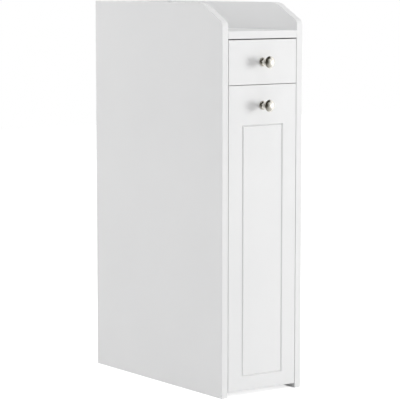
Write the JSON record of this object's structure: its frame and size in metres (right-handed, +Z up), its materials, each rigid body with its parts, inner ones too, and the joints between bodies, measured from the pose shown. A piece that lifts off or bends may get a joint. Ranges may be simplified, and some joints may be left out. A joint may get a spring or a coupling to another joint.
{
  "type": "bathroom cabinet",
  "caption": "Narrow deep white floor cabinet with a shouldered gallery top, a small inset drawer and a tall grooved pull-out rack on roller runners, each with a round metal knob.",
  "frame": {"origin": "on the floor, at the centre of the outline with the knobs counted in", "axes": "+X to the right seen from the front, +Y to the rear, +Z up"},
  "size_m": [0.2, 0.478, 0.78],
  "materials": {
    "white_board": "satin white lacquer on fibreboard",
    "thin_board": "thin hardboard, white on its inner face",
    "knob_metal": "satin nickel",
    "runner_steel": "white epoxy coat on folded steel",
    "roller_nylon": "moulded nylon",
    "zinc_fixings": "bright zinc plate",
    "dowel_wood": "beech"
  },
  "bodies": {
    "cabinet": {"left_side_panel": "white_board", "right_side_panel": "white_board", "top_shelf": "white_board", "gallery_board": "white_board", "divider_board": "white_board", "bottom_board": "white_board", "back_panel": "thin_board", "drawer_cabinet_rail_left": "runner_steel", "drawer_cabinet_rail_right": "runner_steel", "rack_lower_cabinet_rail_left": "runner_steel", "rack_lower_cabinet_rail_right": "runner_steel", "rack_upper_cabinet_rail_left": "runner_steel", "rack_upper_cabinet_rail_right": "runner_steel", "cam_discs": "zinc_fixings", "cam_bolts": "zinc_fixings", "wood_dowels": "dowel_wood", "cabinet_rail_screws": "zinc_fixings", "cabinet_roller_pins": "zinc_fixings"},
    "drawer": {"drawer_front": "white_board", "drawer_side_left": "white_board", "drawer_side_right": "white_board", "drawer_back": "white_board", "drawer_floor": "thin_board", "drawer_knob": "knob_metal", "drawer_knob_screw": "zinc_fixings", "drawer_rail_left": "runner_steel", "drawer_rail_right": "runner_steel", "drawer_rail_screws": "zinc_fixings", "drawer_roller_pins": "zinc_fixings", "drawer_cam_discs": "zinc_fixings", "drawer_cam_bolts": "zinc_fixings", "drawer_back_screws": "zinc_fixings"},
    "rack": {"rack_front": "white_board", "rack_back": "white_board", "rack_lower_shelf": "white_board", "rack_middle_shelf": "white_board", "rack_upper_shelf": "white_board", "rack_lower_guard_left": "white_board", "rack_lower_guard_right": "white_board", "rack_middle_guard_left": "white_board", "rack_middle_guard_right": "white_board", "rack_upper_guard_left": "white_board", "rack_upper_guard_right": "white_board", "rack_knob": "knob_metal", "rack_knob_screw": "zinc_fixings", "rack_lower_rail_left": "runner_steel", "rack_lower_rail_right": "runner_steel", "rack_upper_rail_left": "runner_steel", "rack_upper_rail_right": "runner_steel", "rack_rail_screws": "zinc_fixings", "rack_roller_pins": "zinc_fixings", "rack_cam_discs": "zinc_fixings", "rack_cam_bolts": "zinc_fixings", "rack_screws": "zinc_fixings"},
    "drawer_front_roller_pair": {"drawer_front_rollers": "roller_nylon"},
    "drawer_rear_roller_pair": {"drawer_rear_rollers": "roller_nylon"},
    "rack_lower_front_roller_pair": {"rack_lower_front_rollers": "roller_nylon"},
    "rack_lower_rear_roller_pair": {"rack_lower_rear_rollers": "roller_nylon"},
    "rack_upper_front_roller_pair": {"rack_upper_front_rollers": "roller_nylon"},
    "rack_upper_rear_roller_pair": {"rack_upper_rear_rollers": "roller_nylon"}
  },
  "joints": [
    {"name": "drawer_slide", "type": "slide", "parent": "cabinet", "child": "drawer", "axis": [0, -1, 0], "range_m": [0, 0.3]},
    {"name": "rack_slide", "type": "slide", "parent": "cabinet", "child": "rack", "axis": [0, -1, 0], "range_m": [0, 0.3]},
    {"name": "drawer_front_roller_spin", "type": "hinge", "parent": "cabinet", "child": "drawer_front_roller_pair", "pos_m": [0, -0.182, 0.6398], "axis": [1, 0, 0], "continuous": true},
    {"name": "drawer_rear_roller_spin", "type": "hinge", "parent": "drawer", "child": "drawer_rear_roller_pair", "pos_m": [0, 0.192, 0.639], "axis": [1, 0, 0], "continuous": true},
    {"name": "rack_lower_front_roller_spin", "type": "hinge", "parent": "cabinet", "child": "rack_lower_front_roller_pair", "pos_m": [0, -0.182, 0.0528], "axis": [1, 0, 0], "continuous": true},
    {"name": "rack_lower_rear_roller_spin", "type": "hinge", "parent": "rack", "child": "rack_lower_rear_roller_pair", "pos_m": [0, 0.192, 0.052], "axis": [1, 0, 0], "continuous": true},
    {"name": "rack_upper_front_roller_spin", "type": "hinge", "parent": "cabinet", "child": "rack_upper_front_roller_pair", "pos_m": [0, -0.182, 0.43413], "axis": [1, 0, 0], "continuous": true},
    {"name": "rack_upper_rear_roller_spin", "type": "hinge", "parent": "rack", "child": "rack_upper_rear_roller_pair", "pos_m": [0, 0.192, 0.43333], "axis": [1, 0, 0], "continuous": true}
  ],
  "couplings": [
    {"joint": "drawer_front_roller_spin", "follows": "drawer_slide", "rad_per_m": 117.65},
    {"joint": "drawer_rear_roller_spin", "follows": "drawer_slide", "rad_per_m": 117.65},
    {"joint": "rack_lower_front_roller_spin", "follows": "rack_slide", "rad_per_m": 117.65},
    {"joint": "rack_lower_rear_roller_spin", "follows": "rack_slide", "rad_per_m": 117.65},
    {"joint": "rack_upper_front_roller_spin", "follows": "rack_slide", "rad_per_m": 117.65},
    {"joint": "rack_upper_rear_roller_spin", "follows": "rack_slide", "rad_per_m": 117.65}
  ]
}
